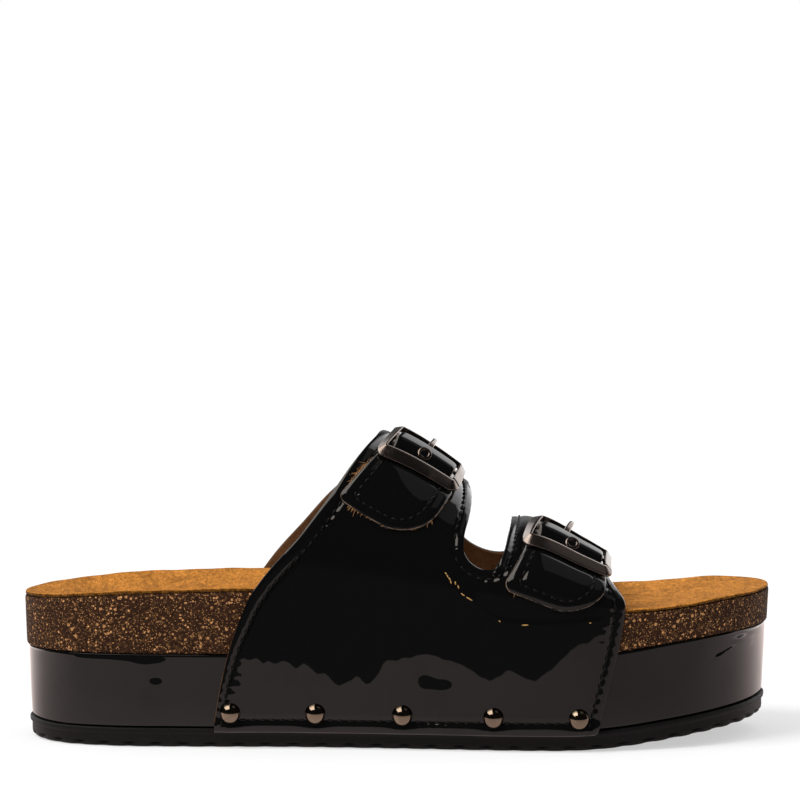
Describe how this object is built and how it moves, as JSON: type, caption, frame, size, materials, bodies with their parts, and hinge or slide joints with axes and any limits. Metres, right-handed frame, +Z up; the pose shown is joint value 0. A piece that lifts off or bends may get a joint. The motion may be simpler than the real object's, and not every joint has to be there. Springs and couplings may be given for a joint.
{
  "type": "platform slide sandal",
  "caption": "Open slide sandal with two buckled patent leather straps over a suede-lined cork footbed on a thick platform and rubber outsole, right foot.",
  "frame": {"origin": "middle of the sandal's bounding box, on the floor it stands on", "axes": "+X towards the toe, +Y towards the inner (medial) side of the foot, +Z up"},
  "size_m": [0.258, 0.0986, 0.1073],
  "materials": {
    "black_rubber": "matt black moulded rubber",
    "black_patent": "black patent leather, mirror gloss",
    "brown_cork": "dark brown pressed cork with pale specks, matt",
    "tan_suede": "tan suede, fine nap",
    "gunmetal": "dark gunmetal plating, satin gloss"
  },
  "bodies": {
    "root": {"outsole": "black_rubber", "platform": "black_patent", "footbed_cork": "brown_cork", "insole_suede": "tan_suede", "upper": "black_patent", "rear_buckle_tab": "black_patent", "front_buckle_tab": "black_patent", "rear_buckle": "gunmetal", "front_buckle": "gunmetal", "rear_prong": "gunmetal", "front_prong": "gunmetal", "rear_eyelet": "gunmetal", "front_eyelet": "gunmetal", "stud_outer_1": "gunmetal", "stud_outer_2": "gunmetal", "stud_outer_3": "gunmetal", "stud_outer_4": "gunmetal", "stud_outer_5": "gunmetal", "stud_inner_1": "gunmetal", "stud_inner_2": "gunmetal", "stud_inner_3": "gunmetal", "stud_inner_4": "gunmetal", "stud_inner_5": "gunmetal"}
  },
  "joints": []
}
